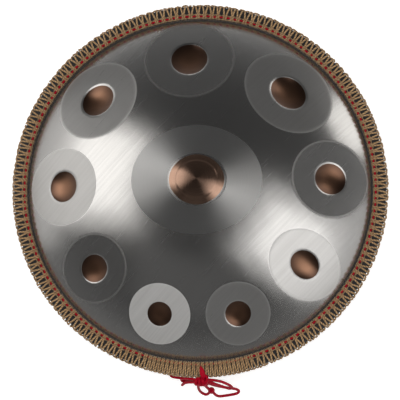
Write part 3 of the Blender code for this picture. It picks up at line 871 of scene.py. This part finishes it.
def outward(lines, share):
    # direction away from the rim: up over its top, outward at its side
    flat = lines * np.array((1, 1, 0))
    flat = flat / np.linalg.norm(flat, axis=-1, keepdims=True)
    return flat * share[..., None] + np.array((0, 0, 1.0)) * np.sqrt(1 - share[..., None] ** 2)


def addNet(name, side, seed, node, jute):
    rng = np.random.default_rng(seed)
    places, bunch = knotPlaces()
    count = len(places)
    if side < 0:
        # the lower net's knots stand between the upper one's
        places = (places + np.append(places[1:], places[0] + 2 * math.pi)) / 2
    places = places + rng.normal(0, 0.0011, count) * (1 - bunch)
    lift = rng.normal(0, 0.00012, count)
    thick = 1 - 0.03 * bunch

    # an arch joins each knot to the next: out over the rim, down its side, across and back
    after = np.roll(places, -1)
    after[-1] += 2 * math.pi
    half = (after - places) / 2 * rimLook["legRadius"]
    middle = (after + places) / 2 + rng.normal(0, 0.0014, count) * (1 - bunch)
    foot = np.maximum(half - 0.0014, 0.0010)
    narrow = np.clip(rng.normal(0.0016, 0.0003, count), 0.0013, 0.0024)
    narrow = narrow * (1 - bunch) + half * 0.4 * bunch
    out = rng.normal(0, 0.0003, count) * (1 - 0.5 * bunch)
    # stations of one leg: (share of the way from the foot to the arch's middle, radius, height,
    # how far it faces out)
    leg = np.array([
        (0.0, 0.2644, 0.0056, 0.0), (0.08, 0.2676, 0.0060, 0.0), (0.40, 0.2714, 0.0060, 0.0),
        (0.78, 0.2754, 0.0056, 0.2), (0.98, 0.2781, 0.0043, 0.7), (1.0, 0.2790, 0.0024, 0.95),
        (1.0, 0.2792, 0.0004, 1.0),
    ])
    bottom = (1.0, 0.2797, -0.0012, 1.0)
    share, reach, height, facing = np.vstack([leg, bottom, leg[::-1]]).T[:, None]
    sign = np.repeat((-1.0, 0.0, 1.0), (len(leg), 1, len(leg)))[None]
    # at the rim's side one leg of an arch passes over the other net's cord, and the other leg under it
    reach = reach + out[:, None] * np.clip(share - 0.5, 0, 1) * 2
    reach = reach + 0.0006 * sign * side * (share > 0.99)
    height = height + lift[:, None] * (share < 0.9)
    aside = sign * (foot[:, None] * (1 - share) + narrow[:, None] * share)
    lines = rimPoint(middle[:, None], aside, reach, side * height)
    up = outward(lines, np.broadcast_to(facing, reach.shape)) * np.array((1, 1, side))
    arches = tubes(lines, (rimLook["cord"] / 2 * thick)[:, None], 5, first=up)

    # each knot: two turns over the drawcord, and a bar of cord along either side of it
    thin = rimLook["knotCord"] / 2
    over = np.array([
        (0.2655, 0.0052), (0.2640, 0.0074), (0.2617, 0.0085), (0.2594, 0.0071), (0.2584, 0.0042),
    ])
    two = np.repeat(places, 2)[:, None]
    apart = np.repeat(0.0014 * (1 - bunch) + half * 0.4 * bunch, 2)
    shift = np.tile((-1, 1), count) * apart + rng.normal(0, 0.00014, 2 * count)
    reach = over[None, :, 0] + np.repeat(lift, 2)[:, None]
    lines = rimPoint(two, shift[:, None], reach, side * over[None, :, 1])
    size = np.array((0.8, 1, 1, 1, 0.8))[None] * (thin + 0.0001 * np.repeat(bunch, 2)[:, None])
    turns = tubes(lines, size, 5, first=(0, 0, side))
    bars = []
    for radius, height in ((0.2646, 0.0060), (0.2593, 0.0050)):
        along = np.array((-1.0, -0.6, 0.0, 0.6, 1.0))[None]
        tilt = rng.normal(0, 0.00025, count)[:, None]
        limit = (half * (0.98 - 0.25 * bunch))[:, None]
        reach = radius + tilt * along + rng.normal(0, 0.0001, count)[:, None]
        lines = rimPoint(places[:, None], along * limit, reach, side * (height - 0.0007 * along**2))
        bars.append(tubes(lines, np.array((0.5, 1.0, 1.08, 1.0, 0.5))[None] * thin, 5, first=(0, 0, side)))

    points, faces, uvs, start = [], [], [], 0
    for rings, quads, uv in (arches, turns, *bars):
        rings = rings.reshape(-1, 3)
        uv = np.broadcast_to(uv, (len(rings) // (uv.shape[1] * uv.shape[2]), *uv.shape[1:])).copy()
        uv[..., 0] += rng.uniform(0, 1, (len(uv), 1, 1))
        points.append(rings)
        uvs.append(uv.reshape(-1, 2))
        faces += [[k + start for k in face] for face in quads]
        start += len(rings)
    net = addMesh(name, np.concatenate(points), faces, jute, uv=np.concatenate(uvs))
    return settle(net, "net_cord", node)


def addRim(jute, rubber, glue, satin):
    # rubber channel: its outline runs over the top lip, round the wall, under the bottom lip and back inside
    flange, lip, wall, top = rimLook["flange"], rimLook["lip"], rimLook["wall"], rimLook["trimTop"]
    outer = flange + rimLook["trimGap"] + wall

    def rounded(x, y, radius, start, end, count):
        turn = np.radians(np.linspace(start, end, count))
        return np.column_stack([x + radius * np.cos(turn), y + radius * np.sin(turn)])

    corner = rounded(outer - 0.001, top - 0.001, 0.001, 90, 0, 5)
    tip = rounded(lip + 0.0008, top - 0.0008, 0.0008, 180, 90, 4)
    half = np.vstack([[(lip, top - wall)], tip, corner])
    back = [(outer - wall, wall - top), (outer - wall, top - wall)]
    outline = np.vstack([half, half[::-1] * (1, -1), back])
    outline[:, 1] += rimHeight
    settle(turned("rubberTrim", outline[::-1], rubber, 360), "trim_rubber", "edge_trim")
    inside, outside, half = 0.2590, 0.2738, 0.0002
    bond = np.array([(inside, -half), (outside, -half), (outside, half), (inside, half)])
    settle(turned("flangeGlue", bond + (0, rimHeight), glue, 240), "adhesive", "flange_bond")
    for name, side, node in (("upperDrawcord", 1, "upper_drawcord"), ("lowerDrawcord", -1, "lower_drawcord")):
        # a ring that starts and ends at the seam, with the small waves that the knots press into it
        turn = np.radians(rimLook["seam"]) + np.linspace(0.002, 2 * math.pi - 0.002, 900)
        phase = np.random.default_rng(5).uniform(0, 6)
        wave = 0.0002 * np.sin(turn * 97 + phase) + 0.0001 * np.sin(turn * 41)
        line = rimPoint(turn, 0, rimLook["drawcordRadius"] + wave, side * rimLook["drawcordHeight"])
        points, faces, uv = tubes(line[None], rimLook["drawcord"] / 2, 10)
        settle(addMesh(name, points, faces, satin, uv=uv), "satin_cord", node)
    addNet("upperNet", 1, 11, "upper_net", jute)
    addNet("lowerNet", -1, 12, "lower_net", jute)


addRim(juteFinish(), rubberFinish(), glueFinish(), satin)
print("rim ready")


# studio


def addFloor(look):
    rows, around = 12, 96
    turn = (np.arange(around) * 2 * math.pi / around)[None]
    radius = (np.linspace(0.02, 1, rows) * look["radius"])[:, None]
    x, y = look["middle"][0] + radius * np.cos(turn), look["middle"][1] + radius * np.sin(turn)
    points = np.stack([x, y, np.full_like(x, -0.0002)], -1)
    faces = gridFaces(rows, around)[:, ::-1].tolist() + [list(range(around))]
    addMesh("floor", points, faces, floorFinish(look))


def addWorld(look):
    # a room for the steel to reflect, darker overhead, in front of a pale backdrop
    world = bpy.data.worlds.new("studio")
    world.use_nodes = True
    nodes, links = world.node_tree.nodes, world.node_tree.links
    room, pale = nodes["Background"], nodes.new("ShaderNodeBackground")
    pick, ramp = nodes.new("ShaderNodeMixShader"), nodes.new("ShaderNodeValToRGB")
    apart = nodes.new("ShaderNodeSeparateXYZ")
    ramp.color_ramp.elements.new(0.3)
    ramp.color_ramp.elements.new(0.6)
    for element, (height, shade) in zip(ramp.color_ramp.elements, look["room"]):
        element.position, element.color = height, (shade, shade, shade, 1)
    links.new(nodes.new("ShaderNodeTexCoord").outputs["Generated"], apart.inputs[0])
    links.new(apart.outputs["Z"], ramp.inputs[0])
    links.new(ramp.outputs[0], room.inputs[0])
    pale.inputs[0].default_value = (look["backdrop"],) * 3 + (1,)
    links.new(nodes.new("ShaderNodeLightPath").outputs["Is Camera Ray"], pick.inputs[0])
    links.new(room.outputs[0], pick.inputs[1])
    links.new(pale.outputs[0], pick.inputs[2])
    links.new(pick.outputs[0], nodes["World Output"].inputs[0])
    bpy.context.scene.world = world


addFloor(floorLook)
addWorld(worldLook)
for name, look in lightLook.items():
    addPanel(name, *look)
bpy.context.scene.view_settings.view_transform = "Standard"

print("studio ready")
